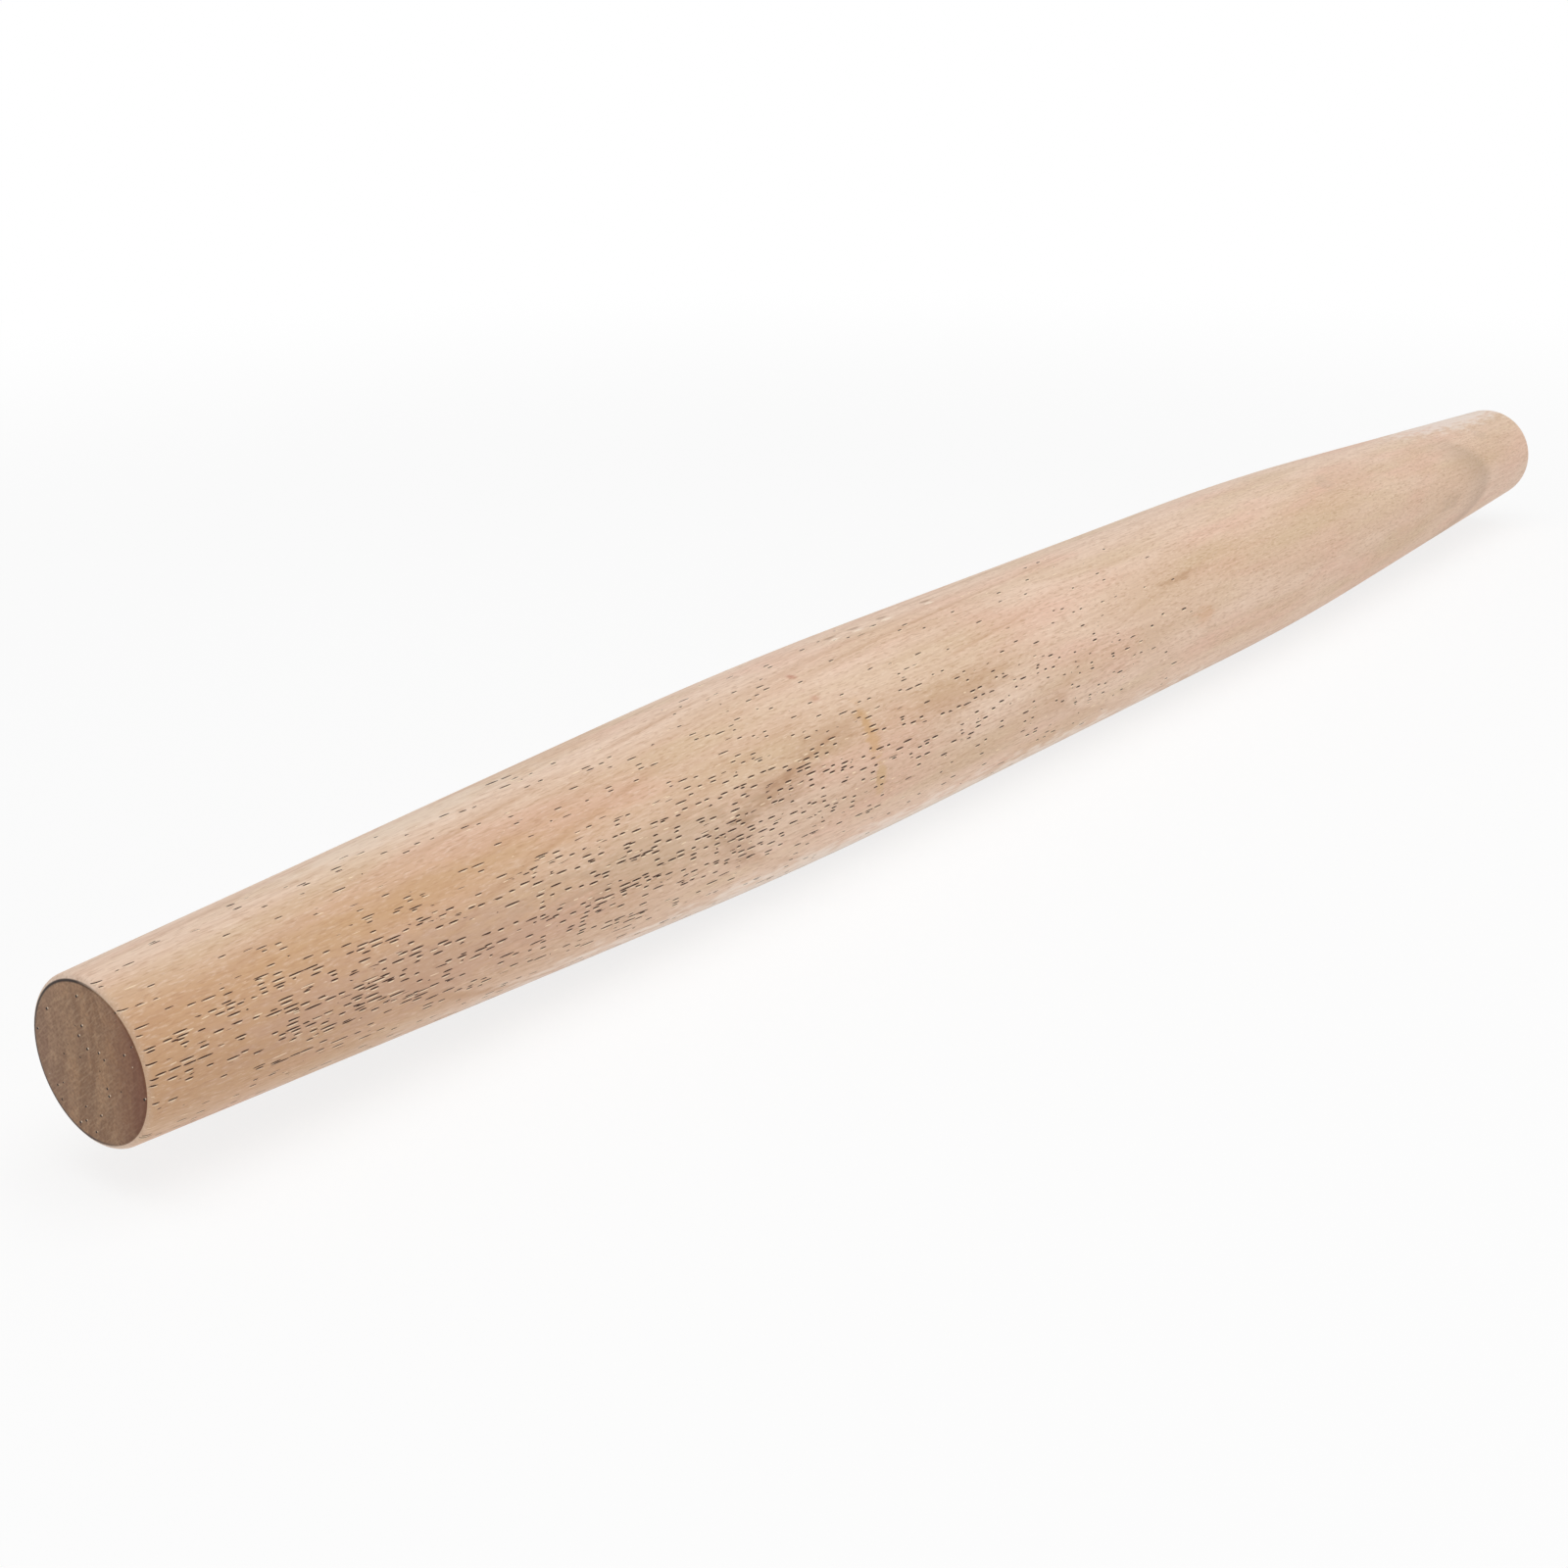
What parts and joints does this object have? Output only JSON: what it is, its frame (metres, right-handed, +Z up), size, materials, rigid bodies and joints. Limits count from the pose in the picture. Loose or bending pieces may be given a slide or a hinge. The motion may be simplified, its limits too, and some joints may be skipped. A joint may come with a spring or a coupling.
{
  "type": "french rolling pin",
  "caption": "One-piece wooden rolling pin with a straight roller in the middle and a long taper to a blunt, square-cut end on each side, for rolling out pastry and dough.",
  "frame": {"origin": "on the turning axis, halfway along the pin", "axes": "+X along the turning axis, +Z up; the pin looks the same from every side of X, so +Y and +Z are free choices"},
  "size_m": [0.5, 0.04, 0.04],
  "materials": {
    "turned_beech": "turned and sanded bare beech, matt, no varnish"
  },
  "bodies": {
    "root": {"rolling_pin": "turned_beech"}
  },
  "joints": []
}
